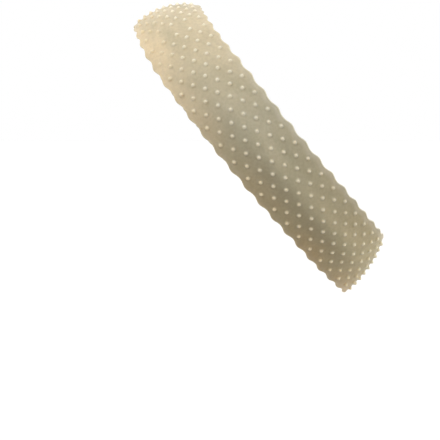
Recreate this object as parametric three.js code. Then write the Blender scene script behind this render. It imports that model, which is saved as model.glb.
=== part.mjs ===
// Wig grip band: one seamless loop of soft moulded silicone, in the shape that it takes round a head.
// Its outer face carries a staggered field of small nubs, and both of its edges are scalloped.
// Units are millimetres. +Z is up, -Y is the wearer's front and +X is the wearer's left.
// The origin is the middle of the hollow that the head fills.
import * as THREE from "three";

// The loop as it is worn, at the height of its middle row of nubs
const LOOP_HALF_LENGTH = 95; // front to back, along the tilted loop
const LOOP_HALF_BREADTH = 76.8; // ear to ear
const FRONT_FULLNESS = 0.161; // share by which the front half is broader than a plain oval
const WEAR_TILT_DEG = 52.4; // the front rides up on the hairline and the back drops to the nape

// How the wall stands at five places, an eighth of a turn apart and alike on both sides
// lean: degrees that the middle of the wall tips inwards
// curl: degrees that the wall turns inwards between its lower and its upper edge
// rise: height of the middle row above its lowest place, at the sides
// width: share of the mean width that the soft band has there
const STATIONS = [
  { place: "front", lean: 20.2, curl: 58.3, rise: 5.4, width: 0.97 },
  { place: "front quarter", lean: 11.9, curl: 45.7, rise: 0.6, width: 1.018 },
  { place: "side", lean: 3.2, curl: 35.7, rise: 0, width: 1.005 },
  { place: "back quarter", lean: 3.6, curl: 36, rise: 3.7, width: 0.985 },
  { place: "back", lean: 17.4, curl: 34.7, rise: 7.3, width: 0.94 },
];
const FOLD = 1.5; // along the sides, how much further out the wall stands above its soft fold than below it
const FOLD_HEIGHTS = [-12, 2]; // where the fold begins and ends on the wall

// The moulded sheet
const WALL = 1.2; // thickness between the nubs
const RIM_ROUND = 0.4; // how far the rounded crown of an edge stands past its two corners
const SCALLOPS = 45; // round the whole loop
const SCALLOP_DEPTH = 1.26; // crest to trough
const SCALLOP_POINT = 0.08; // how much narrower the crests are than the troughs; 0 is an even wave
const CREST_SHIFT = 0.745; // share of a scallop from the first column of nubs to the next crest
const LOWER_MARGIN = 4.3; // from the lowest row of nubs to the mean line of the lower edge
const UPPER_MARGIN = 5; // from the highest row of nubs to the mean line of the upper edge

// The nubs: columns of five and of four by turns, so that the rows are staggered
const COLUMNS = 94;
const PLAIN_COLUMN = 9; // this column is left without nubs, as a plain strip
const SIDE_STRETCH = 0.06; // share by which the columns are further apart at the sides than on the whole
const OUTER_ROW = 4; // rows are numbered from -4, the lowest, to 4, the highest
const ROW_PITCH = 4.12;
const COLUMN_START = 0.1; // columns from the middle of the front to column 0
const NUB_RADIUS = 1.25;
const NUB_HEIGHT = 1.4;
const NUB_SIDES = 6;

// The inner face is smooth and needs few heights for its curve
const INNER_HEIGHTS = [-13, -5, 3, 11];

const BAND_WIDTH = 2 * OUTER_ROW * ROW_PITCH + LOWER_MARGIN + UPPER_MARGIN;
const LOWER_EDGE = -OUTER_ROW * ROW_PITCH - LOWER_MARGIN;
const UPPER_EDGE = OUTER_ROW * ROW_PITCH + UPPER_MARGIN;
const EDGE_STEPS_PER_COLUMN = 3; // about six corners for each scallop
const EDGE_STEPS = EDGE_STEPS_PER_COLUMN * COLUMNS;

// The middle row seen along the band's own axis: an oval from the front round by the wearer's left
class LoopOval extends THREE.Curve {
  getPoint(t, target = new THREE.Vector3()) {
    const angle = 2 * Math.PI * t;
    const fullness = 1 + FRONT_FULLNESS * Math.cos(angle);
    const across = LOOP_HALF_BREADTH * Math.sin(angle) * fullness;
    return target.set(across, -LOOP_HALF_LENGTH * Math.cos(angle), 0);
  }
}
const oval = new LoopOval();
oval.arcLengthDivisions = 1200;

// Lean, curl and rise as one smooth closed curve through the stations, down one side and up the other, and
// width as another
const bothSides = [...STATIONS, ...STATIONS.slice(1, -1).reverse()];
const closedCurve = (points) => new THREE.CatmullRomCurve3(points, true, "catmullrom");
const stance = closedCurve(bothSides.map(({ lean, curl, rise }) => new THREE.Vector3(lean, curl, rise)));
const widths = closedCurve(bothSides.map(({ width }) => new THREE.Vector3(width, 0, 0)));

// How far the soft fold moves the wall out. It fades away towards the front and the back.
function foldOut(share, height) {
  const { smoothstep } = THREE.MathUtils;
  const toBack = 1 - Math.abs(1 - 2 * share);
  const fade = smoothstep(toBack, 0.25, 0.42) * (1 - smoothstep(toBack, 0.9, 0.98));
  return FOLD * fade * (smoothstep(height, ...FOLD_HEIGHTS) - 0.5);
}

// The way round the loop to a column, from 0 at the middle of the front to 1. At the front and at the back,
// where the wall is stretched less, the columns are closer together.
function loopShare(column) {
  const even = (column + COLUMN_START) / COLUMNS;
  const stretched = even - (SIDE_STRETCH * Math.sin(4 * Math.PI * even)) / (4 * Math.PI);
  return THREE.MathUtils.euclideanModulo(stretched, 1);
}

// A point of the wall. column is the way round the loop in nub columns, height the way up the wall from its
// middle row where the band has its mean width, and out the way out from the outer face, so that -WALL is the
// inner face.
function wallPoint(column, height, out) {
  const share = loopShare(column);
  const turnShare = oval.getUtoTmapping(share);
  const middle = oval.getPoint(turnShare);
  const tangent = oval.getTangent(turnShare);
  const outward = new THREE.Vector3(tangent.y, -tangent.x, 0);
  const station = stance.getPoint(turnShare);
  const lean = THREE.MathUtils.degToRad(station.x);
  const curl = THREE.MathUtils.degToRad(station.y);
  const slope = lean + (curl * height) / BAND_WIDTH;
  const bendRadius = (BAND_WIDTH * widths.getPoint(turnShare).x) / curl;
  const inward = bendRadius * (Math.cos(lean) - Math.cos(slope));
  const climb = bendRadius * (Math.sin(slope) - Math.sin(lean));
  const off = out + foldOut(share, height);
  middle.addScaledVector(outward, off * Math.cos(slope) - inward);
  middle.z = station.z + climb + off * Math.sin(slope);
  return middle;
}

// The height of a scalloped edge; side is 1 for the upper edge and -1 for the lower one.
function edgeHeight(column, side) {
  const turn = 2 * Math.PI * ((SCALLOPS * column) / COLUMNS - CREST_SHIFT);
  const wave = Math.cos(turn) + SCALLOP_POINT * Math.cos(2 * turn);
  return (side > 0 ? UPPER_EDGE : LOWER_EDGE) + (side * SCALLOP_DEPTH * wave) / 2;
}

// Collects the corners and triangles of one closed skin.
class Skin {
  positions = [];
  triangles = [];

  corner(point) {
    this.positions.push(point.x, point.y, point.z);
    return this.positions.length / 3 - 1;
  }

  // A closed row of corners round the band: count of them, evenly spaced, at the heights and depth given.
  ring(count, heightAt, out) {
    const step = COLUMNS / count;
    return Array.from({ length: count }, (_, k) =>
      this.corner(wallPoint(k * step, heightAt(k * step), out)),
    );
  }

  // Joins two closed rows. Both run the same way, and near lies to the right of far along that way.
  zip(near, far) {
    let a = 0;
    let b = 0;
    while (a < near.length || b < far.length) {
      const nearCorner = near[a % near.length];
      const farCorner = far[b % far.length];
      if (b === far.length || (a < near.length && (a + 0.5) / near.length <= (b + 0.5) / far.length)) {
        a += 1;
        this.triangles.push(nearCorner, near[a % near.length], farCorner);
      } else {
        b += 1;
        this.triangles.push(nearCorner, far[b % far.length], farCorner);
      }
    }
  }

  // Joins a chain of corners to one corner on its left.
  fan(chain, tip) {
    for (let k = 0; k + 1 < chain.length; k += 1) this.triangles.push(chain[k], chain[k + 1], tip);
  }

  geometry() {
    const made = new THREE.BufferGeometry();
    made.setAttribute("position", new THREE.Float32BufferAttribute(this.positions, 3));
    made.setIndex(this.triangles);
    made.computeVertexNormals();
    return made;
  }
}

const skin = new Skin();
const wrap = (index, count) => THREE.MathUtils.euclideanModulo(index, count);

// The corners of the outer face: its two edges, and the plain sites of the lattice between the nubs
const outerEdge = {};
const site = new Map();
const siteKey = (column, row) => `${wrap(column, COLUMNS)},${row}`;

function layOuterCorners() {
  for (const side of [1, -1]) {
    const inside = (column) => edgeHeight(column, side) - side * RIM_ROUND;
    outerEdge[side] = skin.ring(EDGE_STEPS, inside, 0);
    for (let column = 0; column < COLUMNS; column += 2) {
      site.set(siteKey(column, side * (OUTER_ROW + 1)), outerEdge[side][EDGE_STEPS_PER_COLUMN * column]);
    }
  }
  for (let column = 0; column < COLUMNS; column += 1) {
    for (let row = -OUTER_ROW; row <= OUTER_ROW; row += 1) {
      if ((column + row) % 2 === 0) continue;
      site.set(siteKey(column, row), skin.corner(wallPoint(column, row * ROW_PITCH, 0)));
    }
  }
}

// The diamond of wall round a nub's place, whose corners are the four sites next to it
function diamondCorners(column, row) {
  return [
    [column + 1, row],
    [column, row + 1],
    [column - 1, row],
    [column, row - 1],
  ].map(([c, r]) => site.get(siteKey(c, r)));
}

// A diamond of wall with no nub
function addPlainDiamond(column, row) {
  const diamond = diamondCorners(column, row);
  skin.fan([...diamond, diamond[0]], skin.corner(wallPoint(column, row * ROW_PITCH, 0)));
}

// One nub in the middle of its diamond of wall
function addNub(column, row) {
  const columnPitch = oval.getLength() / COLUMNS;
  const foot = Array.from({ length: NUB_SIDES }, (_, k) => {
    const angle = (2 * Math.PI * k) / NUB_SIDES;
    const along = (NUB_RADIUS * Math.cos(angle)) / columnPitch;
    const up = NUB_RADIUS * Math.sin(angle);
    return skin.corner(wallPoint(column + along, row * ROW_PITCH + up, 0));
  });
  skin.zip(diamondCorners(column, row), foot);
  skin.fan([...foot, foot[0]], skin.corner(wallPoint(column, row * ROW_PITCH, NUB_HEIGHT)));
}

function addNubField() {
  for (let column = 0; column < COLUMNS; column += 1) {
    for (let row = -OUTER_ROW; row <= OUTER_ROW; row += 1) {
      if ((column + row) % 2 !== 0) continue;
      if (column === PLAIN_COLUMN) addPlainDiamond(column, row);
      else addNub(column, row);
    }
  }
}

// The plain triangle of wall between each column of four nubs and each edge
function addEdgeTriangles() {
  for (let column = 1; column < COLUMNS; column += 2) {
    const first = EDGE_STEPS_PER_COLUMN * (column - 1);
    for (const side of [1, -1]) {
      const chain = Array.from(
        { length: 2 * EDGE_STEPS_PER_COLUMN + 1 },
        (_, k) => outerEdge[side][wrap(first + k, EDGE_STEPS)],
      );
      if (side > 0) chain.reverse();
      skin.fan(chain, site.get(siteKey(column, side * OUTER_ROW)));
    }
  }
}

// The rounded rims and the smooth inner face, from the outer upper edge over to the outer lower edge
function addRimsAndInnerFace() {
  const crown = (side) => skin.ring(EDGE_STEPS, (column) => edgeHeight(column, side), -WALL / 2);
  const innerEdge = (side) =>
    skin.ring(EDGE_STEPS, (column) => edgeHeight(column, side) - side * RIM_ROUND, -WALL);
  const innerRows = INNER_HEIGHTS.toReversed().map((height) => skin.ring(COLUMNS, () => height, -WALL));
  const rows = [
    outerEdge[1],
    crown(1),
    innerEdge(1),
    ...innerRows,
    innerEdge(-1),
    crown(-1),
    outerEdge[-1],
  ];
  for (let k = 0; k + 1 < rows.length; k += 1) skin.zip(rows[k], rows[k + 1]);
}

layOuterCorners();
addNubField();
addEdgeTriangles();
addRimsAndInnerFace();

const silicone = new THREE.MeshStandardMaterial({ color: 0xcfc4a0, roughness: 0.45, metalness: 0 });
const band = new THREE.Mesh(skin.geometry(), silicone);
band.name = "grip_band";

const wornBand = new THREE.Group();
wornBand.add(band);
wornBand.rotation.x = -THREE.MathUtils.degToRad(WEAR_TILT_DEG);

const part = new THREE.Group();
part.add(wornBand);

export default part;
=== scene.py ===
import math

import bmesh
import bpy
import numpy as np
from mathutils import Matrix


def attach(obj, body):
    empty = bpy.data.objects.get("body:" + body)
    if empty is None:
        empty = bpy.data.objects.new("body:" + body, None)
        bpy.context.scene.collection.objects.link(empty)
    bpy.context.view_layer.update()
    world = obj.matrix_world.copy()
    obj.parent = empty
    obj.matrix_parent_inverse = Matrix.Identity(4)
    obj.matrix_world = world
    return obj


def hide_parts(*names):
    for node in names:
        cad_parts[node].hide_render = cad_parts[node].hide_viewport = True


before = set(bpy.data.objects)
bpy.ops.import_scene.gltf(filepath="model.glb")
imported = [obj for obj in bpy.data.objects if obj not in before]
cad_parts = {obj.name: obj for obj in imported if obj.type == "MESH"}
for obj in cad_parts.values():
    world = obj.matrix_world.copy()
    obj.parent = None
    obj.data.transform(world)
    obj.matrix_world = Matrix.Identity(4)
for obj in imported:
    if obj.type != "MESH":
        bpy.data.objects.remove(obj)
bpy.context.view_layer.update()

bl_info = {
    "name": "Wig Grip Band",
    "version": (1, 0, 0),
    "blender": (4, 5, 0),
    "location": "View3D > Sidebar > Grip Band",
    "description": "Makes a moulded silicone wig grip band with nubs and scalloped edges, and its stage",
    "category": "Add Mesh",
}

MM = 0.001

# The wall
UPPER = 1  # the two edges, as sides of the middle row
LOWER = -1
OVAL_STEPS = 7200  # straight steps in which the loop's length is measured
# Slow waves of the soft wall: turns round the loop, turn across the width, start, share of the waviness
WAVES = ((11, 2.6, 0.4, 1.0), (19, -3.7, 1.9, 0.7), (31, 5.2, 4.1, 0.5), (47, -1.3, 2.7, 0.3))
FOLD_HEIGHTS = (-12 * MM, 2 * MM)  # where the fold starts to bring the wall out, and where it is all out
# Ways from the front to the back at which the fold is nought and full, at its front end and at its back end
FOLD_FRONT_END = (0.25, 0.42)
FOLD_BACK_END = (0.98, 0.9)

# The nubs, the rims and the inside
# A nub from its fillet to its crown: share of the foot's radius, share of the height
NUB_PROFILE = ((1.3, 0.0), (1.04, 0.1), (0.8, 0.36), (0.56, 0.66), (0.3, 0.9))
CELL_STEPS = 6  # parts of each side of the diamond of wall round a nub, so a nub has 24 sides
RIM_START = 1.1 * MM  # from the crown of an edge back to where its bead begins
# An edge from its outer foot over the crown to the inner face: way out in bead heights, way out in walls,
# and way back from the crown in shares of RIM_START
RIM_PROFILE = (
    (0.0, 0.0, 1.0), (0.55, 0.0, 0.78), (0.95, 0.0, 0.55), (0.85, 0.0, 0.3), (0.3, -0.08, 0.11),
    (0.0, -0.3, 0.015), (0.0, -0.55, 0.0), (0.0, -0.8, 0.09), (0.0, -0.95, 0.25), (0.0, -1.0, 0.5),
)
# How much paler each edge is than the wall, a painted highlight: in a soft border, and on the bead on top of
# that. The upper edge, where light from above catches it, gets far more
RIM_HIGHLIGHT = {UPPER: (0.15, 0.5), LOWER: (0.05, 0.05)}
BORDER_DEPTHS = (4.5 * MM, 1.5 * MM)  # how far from the crown the border begins, and where it is full
BEAD_DEPTHS = (1.0 * MM, 0.2 * MM)  # the same for the paler bead
INNER_ROWS = 14  # rows of quads across the inner face, between the two rims
# Corners whose places round to the same whole steps are welded into one
STEPS_PER_COLUMN = 2e3
STEPS_PER_METRE = 1e7

# The silicone
CLOUD_SIZE = 14 * MM  # across the band
CLOUD_STRETCH = 2.5  # how many times longer the clouds are along the loop
MOTTLE_SIZE = 1.5 * MM
GRAIN_SIZE = 0.7 * MM  # the grain of a blasted mould is finer: it is drawn as coarse as it needs to show
SILICONE_IOR = 1.41
# Ways from the front to the back at which the wall has the first, second, third and fourth colour
WALL_STOPS = (0.18, 0.47, 0.75, 0.95)
FACTOR, FIRST, SECOND = 0, 6, 7  # a Mix node's inputs when it mixes colours
MIXED = 2  # and its output
BLACK = (0, 0, 0)
WHITE = (1, 1, 1)

# The stage
LAMP_SPREAD = math.radians(50)  # how wide each lamp looks from the band
# How far each lamp is tipped from shining straight down, and then turned round Z
KEY_TURN = (math.radians(62), math.radians(40))
FILL_TURN = (math.radians(75), math.radians(150))
FLOOR_RADIUS = 40  # metres
FLOOR_SIDES = 64
PAINT_ROUGHNESS = 0.9
SENSOR_WIDTH = 36  # millimetres
VIEW_REACH = 100  # metres, past the far side of the floor


def linear(hex_colour):
    """An sRGB colour such as "#CFC4A0" as linear red, green and blue."""
    parts = [int(hex_colour[start:start + 2], 16) / 255 for start in (1, 3, 5)]
    return [part / 12.92 if part <= 0.04045 else ((part + 0.055) / 1.055) ** 2.4 for part in parts]


def smooth(value, low, high):
    """0 at low and 1 at high, with a smooth run between them."""
    share = np.clip((value - low) / (high - low), 0, 1)
    return share * share * (3 - 2 * share)


class GripBandShape(bpy.types.PropertyGroup):
    """The loop and its wall, in the shape that they take when worn."""

    half_length: bpy.props.FloatProperty(
        name="Half Length", description="Half of the loop from front to back, along its tilt",
        default=95 * MM, min=0.01, unit="LENGTH")
    half_breadth: bpy.props.FloatProperty(
        name="Half Breadth", description="Half of the loop from ear to ear",
        default=76.8 * MM, min=0.01, unit="LENGTH")
    front_fullness: bpy.props.FloatProperty(
        name="Front Fullness", description="Share by which the front half is broader than a plain oval",
        default=0.161, min=0, max=0.5, subtype="FACTOR")
    wear_tilt: bpy.props.FloatProperty(
        name="Wear Tilt",
        description="How far the loop is tilted, high at the hairline and low at the nape",
        default=math.radians(52.4), unit="ROTATION", subtype="ANGLE")
    lean: bpy.props.FloatVectorProperty(
        name="Lean",
        description="How far the wall tips inwards at five places from the front to the back",
        size=5, default=[math.radians(angle) for angle in (20.2, 11.9, 3.2, 3.6, 17.4)], unit="ROTATION")
    curl: bpy.props.FloatVectorProperty(
        name="Curl",
        description="How far the wall turns inwards from its lower to its upper edge, at the same places",
        size=5, default=[math.radians(angle) for angle in (58.3, 45.7, 35.7, 36.0, 34.7)], unit="ROTATION")
    rise: bpy.props.FloatVectorProperty(
        name="Rise",
        description="Height of the middle row of nubs above its lowest place, at the same places",
        size=5, default=[height * MM for height in (5.4, 0.6, 0.0, 3.7, 7.3)], unit="LENGTH")
    width_share: bpy.props.FloatVectorProperty(
        name="Width Share", description="Width at the same places, as a share of the usual width",
        size=5, default=(0.97, 1.018, 1.005, 0.985, 0.94), min=0.5, max=1.5)
    wall: bpy.props.FloatProperty(
        name="Wall", description="Thickness of the wall between the nubs",
        default=1.2 * MM, min=0.0002, unit="LENGTH", precision=4)
    scallops: bpy.props.IntProperty(
        name="Scallops", description="Scallops round the whole loop", default=45, min=4)
    scallop_depth: bpy.props.FloatProperty(
        name="Scallop Depth", description="From crest to trough of the scalloped edges",
        default=1.26 * MM, min=0, unit="LENGTH", precision=4)
    scallop_point: bpy.props.FloatProperty(
        name="Scallop Point",
        description="How much narrower the crests are than the troughs, 0 for an even wave",
        default=0.08, min=0, max=0.25, subtype="FACTOR")
    crest_shift: bpy.props.FloatProperty(
        name="Crest Shift",
        description="Share of a scallop from the first column of nubs to the next crest",
        default=0.745, min=0, max=1, subtype="FACTOR")
    lower_margin: bpy.props.FloatProperty(
        name="Lower Margin", description="From the lowest row of nubs to the mean line of the lower edge",
        default=4.3 * MM, min=0.003, unit="LENGTH", precision=4)
    upper_margin: bpy.props.FloatProperty(
        name="Upper Margin", description="From the highest row of nubs to the mean line of the upper edge",
        default=5.0 * MM, min=0.003, unit="LENGTH", precision=4)
    waviness: bpy.props.FloatProperty(
        name="Waviness", description="How far the soft wall strays in and out from a true curve",
        default=0.12 * MM, min=0, unit="LENGTH", precision=5)
    fold: bpy.props.FloatProperty(
        name="Fold",
        description="How much further out the wall stands above the fold than below it, at the sides",
        default=1.5 * MM, min=0, unit="LENGTH", precision=5)
    bead: bpy.props.FloatProperty(
        name="Rim Bead", description="How far the rounded bead along each edge stands out from the wall",
        default=0.22 * MM, min=0, unit="LENGTH", precision=5)


class GripBandNubs(bpy.types.PropertyGroup):
    """The staggered field of nubs on the outer face."""

    columns: bpy.props.IntProperty(
        name="Columns", description="Columns round the loop, of five and of four nubs by turns",
        default=94, min=10, step=2)
    plain_column: bpy.props.IntProperty(
        name="Plain Column", description="Number of the column that has no nubs", default=9, min=0)
    side_stretch: bpy.props.FloatProperty(
        name="Side Stretch",
        description="Share by which the columns are further apart at the sides than on the whole",
        default=0.06, min=0, max=0.5, subtype="FACTOR")
    outer_row: bpy.props.IntProperty(
        name="Outer Row", description="Number of the highest row, counted from the middle row",
        default=4, min=2)
    row_pitch: bpy.props.FloatProperty(
        name="Row Pitch", description="From one row to the next, which is shifted by a column",
        default=4.12 * MM, min=0.001, unit="LENGTH", precision=4)
    column_start: bpy.props.FloatProperty(
        name="Column Start", description="Columns from the middle of the front to the first column",
        default=0.1)
    radius: bpy.props.FloatProperty(
        name="Nub Radius", description="Radius of a nub at its foot, without the fillet",
        default=1.25 * MM, min=0.0002, unit="LENGTH", precision=4)
    height: bpy.props.FloatProperty(
        name="Nub Height", description="How far a nub stands out from the wall",
        default=1.4 * MM, min=0.0002, unit="LENGTH", precision=4)


class GripBandSilicone(bpy.types.PropertyGroup):
    """Colours and finish of the silicone."""

    # The wall's colours round the loop are partly painted light: lighter at the front, darker at the sides
    front: bpy.props.FloatVectorProperty(
        name="Front", description="Colour at the hairline",
        size=3, subtype="COLOR", default=linear("#D2C3A4"))
    side: bpy.props.FloatVectorProperty(
        name="Side", description="Colour over the ears",
        size=3, subtype="COLOR", default=linear("#BCB59E"))
    behind: bpy.props.FloatVectorProperty(
        name="Behind", description="Colour behind the ears",
        size=3, subtype="COLOR", default=linear("#BCB192"))
    nape: bpy.props.FloatVectorProperty(
        name="Nape", description="Colour at the back",
        size=3, subtype="COLOR", default=linear("#CBBC94"))
    # Partly painted light: warm light bounced up along the lower edge, and more of it at the lower front
    low_front: bpy.props.FloatVectorProperty(
        name="Low Front", description="Colour along the lower edge at the hairline",
        size=3, subtype="COLOR", default=linear("#DDCAA8"))
    low_side: bpy.props.FloatVectorProperty(
        name="Low Side", description="Colour along the lower edge over the ears",
        size=3, subtype="COLOR", default=linear("#BEB194"))
    low_behind: bpy.props.FloatVectorProperty(
        name="Low Behind", description="Colour along the lower edge behind the ears",
        size=3, subtype="COLOR", default=linear("#C4B088"))
    low_nape: bpy.props.FloatVectorProperty(
        name="Low Nape", description="Colour along the lower edge at the back",
        size=3, subtype="COLOR", default=linear("#D3BA91"))
    # Painted shade at the sides: along the lower edge, under the fold, and above the ridge
    shade_low: bpy.props.FloatVectorProperty(
        name="Shade Low", description="Tint along the lower edge at the sides",
        size=3, subtype="COLOR", default=linear("#E0DDD7"))
    shade_fold: bpy.props.FloatVectorProperty(
        name="Shade Fold", description="Tint under the fold at the sides",
        size=3, subtype="COLOR", default=linear("#D9D7D2"))
    # A painted highlight along the ridge above the fold
    painted_ridge_highlight: bpy.props.FloatVectorProperty(
        name="Shade Ridge", description="Tint of the stretched ridge above the fold",
        size=3, subtype="COLOR", default=linear("#FFFFFF"))
    shade_high: bpy.props.FloatVectorProperty(
        name="Shade High", description="Tint between the ridge and the upper edge at the sides",
        size=3, subtype="COLOR", default=linear("#F2F1EE"))
    cloud: bpy.props.FloatVectorProperty(
        name="Clouding", description="Tint of the darker clouds in the silicone",
        size=3, subtype="COLOR", default=linear("#9A9579"))
    # The nubs are paler partly as the silicone is thick, and partly by a painted highlight set round the
    # loop
    thick_and_highlight_front: bpy.props.FloatVectorProperty(
        name="Thick Front", description="Colour of the nubs at the hairline, where the silicone is thick",
        size=3, subtype="COLOR", default=linear("#F2E8D3"))
    thick_and_highlight_side: bpy.props.FloatVectorProperty(
        name="Thick Side", description="Colour of the nubs over the ears",
        size=3, subtype="COLOR", default=linear("#CFC7B3"))
    thick_and_highlight_behind: bpy.props.FloatVectorProperty(
        name="Thick Behind", description="Colour of the nubs behind the ears",
        size=3, subtype="COLOR", default=linear("#D0C5AD"))
    thick_and_highlight_nape: bpy.props.FloatVectorProperty(
        name="Thick Nape", description="Colour of the nubs at the back",
        size=3, subtype="COLOR", default=linear("#EDE2C6"))
    # Partly painted warm light bounced up onto the lower nubs
    thick_low: bpy.props.FloatVectorProperty(
        name="Thick Low", description="Tint of the nubs along the lower edge",
        size=3, subtype="COLOR", default=linear("#FFF7EA"))
    # The rims' colours are a painted highlight along the edges
    rim_highlight_front: bpy.props.FloatVectorProperty(
        name="Rim Front", description="Colour of the rims at the hairline",
        size=3, subtype="COLOR", default=linear("#CFC3A6"))
    rim_highlight_side: bpy.props.FloatVectorProperty(
        name="Rim Side", description="Colour of the rims from the ears to the back",
        size=3, subtype="COLOR", default=linear("#F2EFE6"))
    roughness: bpy.props.FloatProperty(
        name="Roughness", description="Roughness of the satin skin",
        default=0.45, min=0, max=1, subtype="FACTOR")


class GripBandStage(bpy.types.PropertyGroup):
    """Floor, lights and camera."""

    camera_distance: bpy.props.FloatProperty(
        name="Camera Distance", description="From the lens to the middle of the band",
        default=1.95876, min=0.3, unit="LENGTH")
    camera_elevation: bpy.props.FloatProperty(
        name="Camera Elevation", description="Angle of the camera above the horizon",
        default=math.radians(1.6), unit="ROTATION", subtype="ANGLE")
    camera_right: bpy.props.FloatProperty(
        name="Camera Right",
        description="How far the camera is moved to its right from the band's middle, in its own plane",
        default=-0.02136, unit="LENGTH", precision=4)
    camera_up: bpy.props.FloatProperty(
        name="Camera Up",
        description="How far the camera is moved up from the band's middle, in its own plane",
        default=-0.04341, unit="LENGTH", precision=4)
    lens: bpy.props.FloatProperty(
        name="Lens", description="Focal length on a 36 mm sensor",
        default=278.5, min=10, unit="CAMERA")
    floor_height: bpy.props.FloatProperty(
        name="Floor Height", description="Height of the floor, from the band's middle",
        default=-0.2, unit="LENGTH")
    floor_colour: bpy.props.FloatVectorProperty(
        name="Floor", description="Colour of the floor",
        size=3, subtype="COLOR", default=linear("#F7F6F3"))
    ambient: bpy.props.FloatProperty(
        name="Ambient", description="Mean strength of the light from all round",
        default=0.80, min=0)
    ambient_lean: bpy.props.FloatVectorProperty(
        name="Ambient Lean",
        description="How much stronger the light from all round is towards +X, +Y and +Z",
        size=3, default=(-0.15, 0.05, 0.20), subtype="XYZ")
    key: bpy.props.FloatProperty(
        name="Key", description="Strength of the soft light from the upper left",
        default=1.2, min=0)
    fill: bpy.props.FloatProperty(
        name="Fill", description="Strength of the weak light from the right",
        default=0.5, min=0)


class WornWall:
    """The wall of the worn band. A place on it is a column, a height above the middle row and a way out.

    Heights are those of the usual width. Where the soft band is narrower or wider, they close up or stretch.
    """

    def __init__(self, shape, nubs):
        self.shape = shape
        self.nubs = nubs
        reach = nubs.outer_row * nubs.row_pitch
        self.edges = {UPPER: reach + shape.upper_margin, LOWER: -reach - shape.lower_margin}
        self.width = self.edges[UPPER] - self.edges[LOWER]
        half = np.stack([shape.lean, shape.curl, shape.rise, shape.width_share], axis=1)
        self.stations = np.concatenate([half, half[-2:0:-1]])
        self.turns = np.linspace(0, 1, OVAL_STEPS + 1)
        x, y = self.oval(self.turns)
        run = np.concatenate([[0], np.cumsum(np.hypot(np.diff(x), np.diff(y)))])
        self.length = run[-1]
        self.shares = run / run[-1]

    def oval(self, turn):
        """The middle row along the band's own axis, from the front round by the wearer's left."""
        angle = 2 * np.pi * turn
        across = self.shape.half_breadth * np.sin(angle) * (1 + self.shape.front_fullness * np.cos(angle))
        return across, -self.shape.half_length * np.cos(angle)

    def stance(self, turn):
        """Lean, curl, rise and share of the width: a smooth closed curve through both sides' stations."""
        place = turn * len(self.stations)
        first = np.floor(place).astype(int)
        way = (place - first)[:, None]
        before, here, after, beyond = (
            self.stations[(first + number) % len(self.stations)] for number in (-1, 0, 1, 2))
        bend = 2 * before - 5 * here + 4 * after - beyond
        twist = 3 * (here - after) + beyond - before
        return (here + way / 2 * (after - before + way * (bend + way * twist))).T

    def share(self, column):
        """The way round the loop from the middle of the front, from 0 to 1.

        The columns are closer together at the front and the back than at the sides.
        """
        even = (column + self.nubs.column_start) / self.nubs.columns
        return np.mod(even - self.nubs.side_stretch * np.sin(4 * np.pi * even) / (4 * np.pi), 1.0)

    def to_nape(self, column):
        """The way from the front to the back along either side, from 0 to 1."""
        return 1 - np.abs(1 - 2 * self.share(column))

    def edge(self, column, side):
        """Height of the scalloped edge on a side."""
        turn = 2 * np.pi * (self.shape.scallops * column / self.nubs.columns - self.shape.crest_shift)
        wave = np.cos(turn) + self.shape.scallop_point * np.cos(2 * turn)
        return self.edges[side] + side * self.shape.scallop_depth / 2 * wave

    def sway(self, column, height):
        """How far the soft wall strays from its true curve: a few slow waves that close round the loop."""
        round_loop = 2 * np.pi * self.share(column)
        up = height / self.width
        waves = (
            size * np.sin(turns * round_loop + tilt * up + start)
            for turns, tilt, start, size in WAVES)
        return self.shape.waviness * sum(waves)

    def step(self, column, height):
        """The soft fold along each side: the wall stands further out above it than below it."""
        to_nape = self.to_nape(column)
        fade = smooth(to_nape, *FOLD_FRONT_END) * smooth(to_nape, *FOLD_BACK_END)
        return self.shape.fold * fade * (smooth(height, *FOLD_HEIGHTS) - 0.5)

    def points(self, column, height, out):
        """Places on the wall as points in the frame."""
        turn = np.interp(self.share(column), self.shares, self.turns)
        out = out + self.sway(column, height) + self.step(column, height)
        angle = 2 * np.pi * turn
        x, y = self.oval(turn)
        along_x = self.shape.half_breadth * (np.cos(angle) + self.shape.front_fullness * np.cos(2 * angle))
        along_y = self.shape.half_length * np.sin(angle)
        size = np.hypot(along_x, along_y)
        lean, curl, rise, width_share = self.stance(turn)
        slope = lean + curl * height / self.width
        bend_radius = self.width * width_share / curl
        off = out * np.cos(slope) - bend_radius * (np.cos(lean) - np.cos(slope))
        x = x + off * along_y / size
        y = y - off * along_x / size
        z = rise + bend_radius * (np.sin(slope) - np.sin(lean)) + out * np.sin(slope)
        cos, sin = math.cos(self.shape.wear_tilt), math.sin(self.shape.wear_tilt)
        return np.stack([x, y * cos + z * sin, z * cos - y * sin], axis=1)


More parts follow.
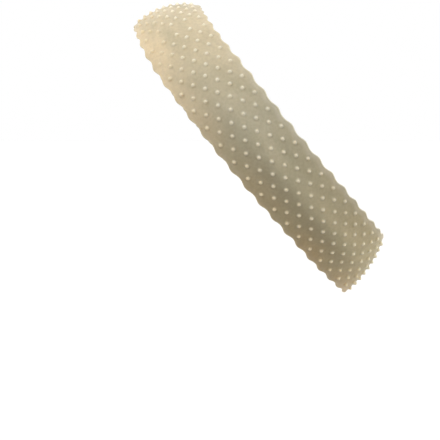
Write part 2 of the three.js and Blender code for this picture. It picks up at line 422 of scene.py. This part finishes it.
class Skin:
    """Collects patches of the band's skin: faces, and corners with their place and their share of a nub."""

    def __init__(self):
        self.corners = []
        self.faces = []
        self.count = 0

    def add(self, column, height, out, tip=0.0):
        """Adds corners and gives their numbers."""
        values = (np.asarray(value, float) for value in (column, height, out, tip))
        corners = np.stack(np.broadcast_arrays(*values), axis=-1)
        numbers = self.count + np.arange(corners[..., 0].size).reshape(corners.shape[:-1])
        self.corners.append(corners.reshape(-1, 4))
        self.count += numbers.size
        return numbers

    def strip(self, near, far):
        """Joins two rows of corners with quads. near lies to the right of far along the rows."""
        quads = np.stack([near[..., :-1], near[..., 1:], far[..., 1:], far[..., :-1]], axis=-1)
        self.faces.append(quads.reshape(-1, 4))

    def fan(self, chain, tips):
        """Joins each chain of corners to a corner on its left."""
        tips = np.broadcast_to(tips[..., None], chain[..., 1:].shape)
        self.faces.append(np.stack([chain[..., :-1], chain[..., 1:], tips], axis=-1).reshape(-1, 3))

    def welded(self, columns):
        """Corners and faces after corners at the same place have been made one."""
        corners = np.concatenate(self.corners)
        corners[:, 0] = np.mod(np.round(corners[:, 0], 6), columns)
        steps = [STEPS_PER_COLUMN, STEPS_PER_METRE, STEPS_PER_METRE]
        keys = np.round(corners[:, :3] * steps).astype(np.int64)
        _, first, number = np.unique(keys, axis=0, return_index=True, return_inverse=True)
        number = number.reshape(-1)
        return corners[first], [tuple(face) for group in self.faces for face in number[group].tolist()]


def close(ring):
    """A ring of corners with its first one again at its end."""
    return np.concatenate([ring, ring[..., :1]], axis=-1)


def lay_height(wall, column, row):
    """Height of a place of the lattice. The rows past the outer nubs stretch to where the rims begin."""
    nubs = wall.nubs
    reach = nubs.outer_row * nubs.row_pitch
    past = np.clip(np.abs(row) - nubs.outer_row, 0, 1)
    upper = wall.edge(column, UPPER) - RIM_START - reach
    lower = -wall.edge(column, LOWER) - RIM_START - reach
    margin = np.where(row > 0, upper, lower)
    return np.sign(row) * (np.minimum(np.abs(row), nubs.outer_row) * nubs.row_pitch + past * margin)


def add_nub_field(skin, wall):
    """The nubs, each in the middle of its diamond of wall."""
    nubs = wall.nubs
    rows = np.arange(-nubs.outer_row, nubs.outer_row + 1)
    column, row = np.meshgrid(np.arange(nubs.columns), rows, indexing="ij")
    odd = (column + row) % 2 == 1
    column, row = column[~odd][:, None], row[~odd][:, None]
    step = np.arange(CELL_STEPS) / CELL_STEPS
    tips = np.array([(1, 0), (0, 1), (-1, 0), (0, -1), (1, 0)])
    sides = [np.outer(1 - step, start) + np.outer(step, end) for start, end in zip(tips, tips[1:])]
    diamond = np.concatenate(sides)
    side_column = column + diamond[:, 0]
    side_height = lay_height(wall, side_column, row + diamond[:, 1])
    angle = 2 * np.pi * np.arange(len(diamond)) / len(diamond)
    pitch = wall.length / nubs.columns
    middle = row * nubs.row_pitch
    standing = np.where(column == nubs.plain_column, 0.0, 1.0)  # 0 flattens the nubs of the plain column
    rings = [skin.add(side_column, side_height, 0)]
    foot_column = column + NUB_PROFILE[0][0] * nubs.radius * np.cos(angle) / pitch
    foot_height = middle + NUB_PROFILE[0][0] * nubs.radius * np.sin(angle)
    rings.append(skin.add((side_column + foot_column) / 2, (side_height + foot_height) / 2, 0))
    for broad, tall in NUB_PROFILE:
        ring_column = column + broad * nubs.radius * np.cos(angle) / pitch
        ring_height = middle + broad * nubs.radius * np.sin(angle)
        rings.append(skin.add(ring_column, ring_height, standing * tall * nubs.height, tip=standing * tall))
    for near, far in zip(rings, rings[1:]):
        skin.strip(close(near), close(far))
    crowns = skin.add(column, middle, standing * nubs.height, tip=standing)
    skin.fan(close(rings[-1]), crowns[:, 0])


def add_margins(skin, wall):
    """The triangles of wall between each column of four nubs and each edge."""
    nubs = wall.nubs
    column = np.arange(1, nubs.columns, 2)[:, None]
    for side in (UPPER, LOWER):
        rows = []
        for step in range(CELL_STEPS + 1):
            at = column - side * np.arange(-step, step + 1) / CELL_STEPS
            row = np.full(at.shape, side * (nubs.outer_row + step / CELL_STEPS))
            rows.append(skin.add(at, lay_height(wall, at, row), 0))
        for near, far in zip(rows[1:], rows):
            if far.shape[1] > 1:
                skin.strip(near[:, 1:-1], far)
            skin.fan(near[:, :2], far[:, 0])
            skin.fan(near[:, -2:], far[:, -1])


def add_rims_and_inside(skin, wall):
    """The beaded rims and the smooth inner face, from the upper edge over to the lower edge."""
    shape = wall.shape
    column = np.arange(wall.nubs.columns * CELL_STEPS) / CELL_STEPS
    rims = {}
    lips = {}
    for side in (UPPER, LOWER):
        crown = wall.edge(column, side)
        rims[side] = []
        for beads, walls, back in RIM_PROFILE:
            out = beads * shape.bead + walls * shape.wall
            rims[side].append(skin.add(column, crown - side * back * RIM_START, out))
        lips[side] = crown - side * RIM_PROFILE[-1][2] * RIM_START
    inside = []
    for number in range(1, INNER_ROWS):
        share = number / INNER_ROWS
        inside.append(skin.add(column, lips[UPPER] * (1 - share) + lips[LOWER] * share, -shape.wall))
    chain = rims[UPPER] + inside + rims[LOWER][::-1]
    for near, far in zip(chain, chain[1:]):
        skin.strip(close(near), close(far))


def painted_rim_highlight(wall, column, height):
    """How much paler the silicone is along the edges, a painted highlight on the pressed-out rim."""
    pale = np.zeros(len(column))
    for side, (border, bead) in RIM_HIGHLIGHT.items():
        depth = side * (wall.edge(column, side) - height)
        here = border * smooth(depth, *BORDER_DEPTHS) + bead * smooth(depth, *BEAD_DEPTHS)
        pale = np.maximum(pale, here)
    return pale


def add_marks(mesh, wall, column, height, tip):
    """Gives each point of the mesh the marks that the silicone's colours follow."""
    marks = {
        "tip": tip,
        "rim": painted_rim_highlight(wall, column, height),
        "to_nape": wall.to_nape(column),
        "across": 2 * height / wall.width,
    }
    for name, values in marks.items():
        mark = mesh.attributes.new(name, "FLOAT", "POINT")
        mark.data.foreach_set("value", values.astype(np.float32))
    # Places for the clouds, drawn together along the loop so that the clouds are long that way
    reach = wall.length / (2 * np.pi * CLOUD_STRETCH)
    turn = 2 * np.pi * wall.share(column)
    places = np.stack([reach * np.cos(turn), reach * np.sin(turn), height], axis=1)
    lay = mesh.attributes.new("lay", "FLOAT_VECTOR", "POINT")
    lay.data.foreach_set("vector", places.astype(np.float32).ravel())


def add_node(tree, kind, inputs=None, stops=None, **settings):
    """Adds a node with its settings. Each input takes a value, or a link from another node's socket."""
    node = tree.nodes.new(kind)
    for name, value in settings.items():
        setattr(node, name, value)
    for key, value in (inputs or {}).items():
        if isinstance(value, bpy.types.NodeSocket):
            tree.links.new(value, node.inputs[key])
        else:
            node.inputs[key].default_value = value
    for number, (place, colour) in enumerate(stops or ()):
        ramp = node.color_ramp.elements
        stop = ramp[number] if number < len(ramp) else ramp.new(place)
        stop.position = place
        stop.color = (*colour, 1)
    return node


def moulded_silicone(colours):
    """Translucent silicone rubber from a fine blasted mould: a satin skin over a milky, clouded body.

    Light goes a little way in and comes out again, so the shading is soft. Thick places, which are the nubs
    and the rims, are paler than the wall, partly from the thick silicone and partly by a painted highlight.
    Painted light and shade also tint the wall along the loop and across it.
    """
    material = bpy.data.materials.new("moulded_translucent_silicone")
    material.use_nodes = True
    tree = material.node_tree
    tree.nodes.clear()
    place = add_node(tree, "ShaderNodeTexCoord").outputs["Object"]
    lay = add_node(tree, "ShaderNodeAttribute", attribute_name="lay").outputs["Vector"]
    to_nape = add_node(tree, "ShaderNodeAttribute", attribute_name="to_nape").outputs["Fac"]
    across = add_node(tree, "ShaderNodeAttribute", attribute_name="across").outputs["Fac"]
    tip = add_node(tree, "ShaderNodeAttribute", attribute_name="tip").outputs["Fac"]
    rim = add_node(tree, "ShaderNodeAttribute", attribute_name="rim").outputs["Fac"]

    # The wall, greyer at the sides, and warmer towards its lower edge. This is partly painted light:
    # lighter at the front where the light falls, with warm light bounced up along the lower edge
    tint = add_node(tree, "ShaderNodeValToRGB", {"Fac": to_nape}, stops=zip(
        WALL_STOPS, (colours.front, colours.side, colours.behind, colours.nape)))
    low_tint = add_node(tree, "ShaderNodeValToRGB", {"Fac": to_nape}, stops=zip(
        WALL_STOPS, (colours.low_front, colours.low_side, colours.low_behind, colours.low_nape)))
    low = add_node(tree, "ShaderNodeMapRange", {"Value": across, "From Min": -0.15, "From Max": -0.9})
    warmed = add_node(tree, "ShaderNodeMix", {
        FACTOR: low.outputs["Result"],
        FIRST: tint.outputs["Color"],
        SECOND: low_tint.outputs["Color"],
    }, data_type="RGBA")
    # The soft fold along the sides: painted shade under it and along the lower edge, a painted highlight on
    # the ridge above it, and painted shade from the ridge up to the upper edge
    upward = add_node(tree, "ShaderNodeMapRange", {"Value": across, "From Min": -1.0, "From Max": 1.0})
    fold = add_node(tree, "ShaderNodeValToRGB", {"Fac": upward.outputs["Result"]}, stops=[
        (0.1, colours.shade_low),
        (0.33, colours.shade_fold),
        (0.6, colours.painted_ridge_highlight),
        (0.76, colours.shade_high),
    ])
    fold.color_ramp.interpolation = "EASE"
    at_side = add_node(tree, "ShaderNodeValToRGB", {"Fac": to_nape}, stops=[
        (0.3, BLACK), (0.58, WHITE), (0.84, WHITE), (0.96, BLACK)])
    shaded = add_node(tree, "ShaderNodeMix", {
        FACTOR: at_side.outputs["Color"],
        FIRST: warmed.outputs[MIXED],
        SECOND: fold.outputs["Color"],
    }, data_type="RGBA", blend_type="MULTIPLY")
    # Darker clouds in the milky body
    clouds = add_node(tree, "ShaderNodeTexNoise", {
        "Vector": lay, "Scale": 1 / CLOUD_SIZE, "Detail": 4.5, "Roughness": 0.55, "Distortion": 0.3})
    cloudy = add_node(tree, "ShaderNodeMapRange", {
        "Value": clouds.outputs["Fac"], "From Min": 0.36, "From Max": 0.72, "To Min": 0.0, "To Max": 0.45})
    clouded = add_node(tree, "ShaderNodeMix", {
        FACTOR: cloudy.outputs["Result"],
        FIRST: shaded.outputs[MIXED],
        SECOND: (*colours.cloud, 1),
    }, data_type="RGBA")
    # Fine mottles over them
    mottles = add_node(tree, "ShaderNodeTexNoise", {
        "Vector": place, "Scale": 1 / MOTTLE_SIZE, "Detail": 1.0})
    mottled = add_node(tree, "ShaderNodeMapRange", {
        "Value": mottles.outputs["Fac"], "From Min": 0.3, "From Max": 0.7, "To Min": 0.905, "To Max": 1.01})
    body = add_node(tree, "ShaderNodeMix", {
        FACTOR: 1.0,
        FIRST: clouded.outputs[MIXED],
        SECOND: mottled.outputs["Result"],
    }, data_type="RGBA", blend_type="MULTIPLY")

    # The nubs, paler from the foot up, partly from the thick silicone and partly by a painted highlight,
    # and warmer along the lower edge, partly by painted light bounced up from below
    thick = add_node(tree, "ShaderNodeValToRGB", {"Fac": to_nape}, stops=[
        (0.1, colours.thick_and_highlight_front),
        (0.44, colours.thick_and_highlight_side),
        (0.66, colours.thick_and_highlight_behind),
        (0.78, colours.thick_and_highlight_behind),
        (0.92, colours.thick_and_highlight_nape),
    ])
    warm_thick = add_node(tree, "ShaderNodeMix", {
        FACTOR: low.outputs["Result"],
        FIRST: thick.outputs["Color"],
        SECOND: (*colours.thick_low, 1),
    }, data_type="RGBA", blend_type="MULTIPLY")
    tipped = add_node(tree, "ShaderNodeMapRange", {"Value": tip, "From Min": 0.0, "From Max": 0.65})
    # At the front, and less so at the back, the lower nubs get less of the painted highlight, and at the
    # back this paints the shade that falls on them
    at_ends = add_node(tree, "ShaderNodeValToRGB", {"Fac": to_nape}, stops=[
        (0.22, WHITE), (0.34, BLACK), (0.82, BLACK), (0.9, (0.36, 0.36, 0.36))])
    low_half = add_node(tree, "ShaderNodeMapRange", {"Value": across, "From Min": 0.15, "From Max": -0.45})
    low_ends = add_node(tree, "ShaderNodeMath", {
        0: at_ends.outputs["Color"], 1: low_half.outputs["Result"]}, operation="MULTIPLY")
    weaker = add_node(tree, "ShaderNodeMapRange", {
        "Value": low_ends.outputs["Value"], "To Min": 1.0, "To Max": 0.45})
    pale = add_node(tree, "ShaderNodeMath", {
        0: tipped.outputs["Result"], 1: weaker.outputs["Result"]}, operation="MULTIPLY")
    nubbed = add_node(tree, "ShaderNodeMix", {
        FACTOR: pale.outputs["Value"],
        FIRST: body.outputs[MIXED],
        SECOND: warm_thick.outputs[MIXED],
    }, data_type="RGBA")

    # The rims, with a painted highlight that is strongest along the upper edge
    rim_highlight_tint = add_node(tree, "ShaderNodeValToRGB", {"Fac": to_nape}, stops=[
        (0.2, colours.rim_highlight_front), (0.48, colours.rim_highlight_side)])
    colour = add_node(tree, "ShaderNodeMix", {
        FACTOR: rim,
        FIRST: nubbed.outputs[MIXED],
        SECOND: rim_highlight_tint.outputs["Color"],
    }, data_type="RGBA")

    # The satin skin, with the mould's grain
    grain = add_node(tree, "ShaderNodeTexNoise", {"Vector": place, "Scale": 1 / GRAIN_SIZE, "Detail": 2.0})
    relief = add_node(tree, "ShaderNodeBump", {
        "Strength": 0.12, "Distance": 0.1 * MM, "Height": grain.outputs["Fac"]})
    gloss = add_node(tree, "ShaderNodeMapRange", {
        "Value": clouds.outputs["Fac"],
        "From Min": 0.3,
        "From Max": 0.7,
        "To Min": colours.roughness - 0.05,
        "To Max": colours.roughness + 0.07,
    })
    shader = add_node(tree, "ShaderNodeBsdfPrincipled", {
        "Base Color": colour.outputs[MIXED],
        "Roughness": gloss.outputs["Result"],
        "IOR": SILICONE_IOR,
        "Normal": relief.outputs["Normal"],
        "Subsurface Weight": 0.8,
        "Subsurface Radius": (1.0, 0.92, 0.75),
        "Subsurface Scale": 2.5 * MM,
    })
    add_node(tree, "ShaderNodeOutputMaterial", {"Surface": shader.outputs["BSDF"]})
    return material


class GRIPBAND_OT_make_band(bpy.types.Operator):
    """Make the moulded band with its nubs, scalloped rims and smooth inside, in place of its plain solid"""

    bl_idname = "grip_band.make_band"
    bl_label = "Make Band"
    bl_options = {"REGISTER", "UNDO"}

    def execute(self, context):
        scene = context.scene
        wall = WornWall(scene.grip_band_shape, scene.grip_band_nubs)
        if wall.nubs.columns % 2:
            raise ValueError("the number of nub columns must be even")
        skin = Skin()
        add_nub_field(skin, wall)
        add_margins(skin, wall)
        add_rims_and_inside(skin, wall)
        corners, faces = skin.welded(wall.nubs.columns)
        column, height, out, tip = corners.T
        mesh = bpy.data.meshes.new("moulded_band")
        mesh.from_pydata(wall.points(column, height, out), [], faces)
        add_marks(mesh, wall, column, height, tip)
        mesh.shade_smooth()
        mesh.materials.append(moulded_silicone(scene.grip_band_silicone))
        band = bpy.data.objects.new("moulded_band", mesh)
        scene.collection.objects.link(band)
        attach(band, "root")
        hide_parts("grip_band")
        return {"FINISHED"}


class GRIPBAND_OT_set_stage(bpy.types.Operator):
    """Set the pale floor, the soft studio light and the camera"""

    bl_idname = "grip_band.set_stage"
    bl_label = "Set Stage"
    bl_options = {"REGISTER", "UNDO"}

    def execute(self, context):
        scene = context.scene
        stage = scene.grip_band_stage
        self.lay_floor(scene, stage)
        self.hang_lights(scene, stage)
        self.place_camera(scene, stage)
        scene.view_settings.view_transform = "Standard"
        return {"FINISHED"}

    def lay_floor(self, scene, stage):
        """A wide plain floor of matt white paint, which scatters light evenly and has no shine."""
        outline = bmesh.new()
        bmesh.ops.create_circle(outline, cap_ends=True, radius=FLOOR_RADIUS, segments=FLOOR_SIDES)
        mesh = bpy.data.meshes.new("floor")
        outline.to_mesh(mesh)
        outline.free()
        paint = bpy.data.materials.new("matt_white_paint")
        paint.use_nodes = True
        shader = paint.node_tree.nodes["Principled BSDF"]
        shader.inputs["Base Color"].default_value = (*stage.floor_colour, 1)
        shader.inputs["Roughness"].default_value = PAINT_ROUGHNESS
        mesh.materials.append(paint)
        floor = bpy.data.objects.new("floor", mesh)
        floor.location.z = stage.floor_height
        floor.visible_diffuse = False  # its white doesn't light the band from below
        scene.collection.objects.link(floor)

    def hang_lights(self, scene, stage):
        """A broad key light, a weaker fill light, and a light from all round that the lens sees as white.

        The light from all round is stronger from above and from the far side of the band.
        """
        for name, strength, (tip, turn) in (("key", stage.key, KEY_TURN), ("fill", stage.fill, FILL_TURN)):
            lamp = bpy.data.lights.new(name, "SUN")
            lamp.energy = strength
            lamp.angle = LAMP_SPREAD
            light = bpy.data.objects.new(name, lamp)
            light.rotation_euler = (tip, 0, turn)
            scene.collection.objects.link(light)
        world = bpy.data.worlds.new("studio")
        world.use_nodes = True
        tree = world.node_tree
        tree.nodes.clear()
        towards = add_node(tree, "ShaderNodeTexCoord").outputs["Generated"]
        lean = add_node(tree, "ShaderNodeVectorMath", {
            0: towards, 1: stage.ambient_lean}, operation="DOT_PRODUCT")
        round_about = add_node(tree, "ShaderNodeMath", {
            0: lean.outputs["Value"], 1: stage.ambient}, operation="ADD")
        seen = add_node(tree, "ShaderNodeLightPath").outputs["Is Camera Ray"]
        strength = add_node(tree, "ShaderNodeMix", {
            0: seen, 2: round_about.outputs["Value"], 3: 1.0}, data_type="FLOAT")
        white = add_node(tree, "ShaderNodeBackground", {
            "Color": (*WHITE, 1), "Strength": strength.outputs[0]})
        add_node(tree, "ShaderNodeOutputWorld", {"Surface": white.outputs["Background"]})
        scene.world = world

    def place_camera(self, scene, stage):
        """Almost level, at the wearer's left, looking straight across the band."""
        optics = bpy.data.cameras.new("camera")
        optics.sensor_width = SENSOR_WIDTH
        optics.lens = stage.lens
        optics.clip_end = VIEW_REACH
        camera = bpy.data.objects.new("camera", optics)
        cos, sin = math.cos(stage.camera_elevation), math.sin(stage.camera_elevation)
        camera.location = (
            stage.camera_distance * cos - stage.camera_up * sin,
            stage.camera_right,
            stage.camera_distance * sin + stage.camera_up * cos,
        )
        camera.rotation_euler = (math.pi / 2 - stage.camera_elevation, 0, math.pi / 2)
        scene.collection.objects.link(camera)
        scene.camera = camera


class VIEW3D_PT_grip_band(bpy.types.Panel):
    """Lists the steps that make the band and its stage"""

    bl_label = "Wig Grip Band"
    bl_space_type = "VIEW_3D"
    bl_region_type = "UI"
    bl_category = "Grip Band"

    def draw(self, context):
        for label, group, operator in (
            ("Shape", "grip_band_shape", None),
            ("Nubs", "grip_band_nubs", None),
            ("Silicone", "grip_band_silicone", GRIPBAND_OT_make_band),
            ("Stage", "grip_band_stage", GRIPBAND_OT_set_stage),
        ):
            box = self.layout.box()
            box.label(text=label)
            settings = getattr(context.scene, group)
            for name in type(settings).__annotations__:
                box.prop(settings, name)
            if operator:
                box.operator(operator.bl_idname)


GROUPS = {
    "grip_band_shape": GripBandShape,
    "grip_band_nubs": GripBandNubs,
    "grip_band_silicone": GripBandSilicone,
    "grip_band_stage": GripBandStage,
}
CLASSES = (*GROUPS.values(), GRIPBAND_OT_make_band, GRIPBAND_OT_set_stage, VIEW3D_PT_grip_band)


def register():
    for kind in CLASSES:
        bpy.utils.register_class(kind)
    for name, kind in GROUPS.items():
        setattr(bpy.types.Scene, name, bpy.props.PointerProperty(type=kind))


def unregister():
    for name in GROUPS:
        delattr(bpy.types.Scene, name)
    for kind in reversed(CLASSES):
        bpy.utils.unregister_class(kind)


def main():
    register()
    bpy.ops.grip_band.make_band()
    bpy.ops.grip_band.set_stage()


if __name__ == "__main__":
    main()
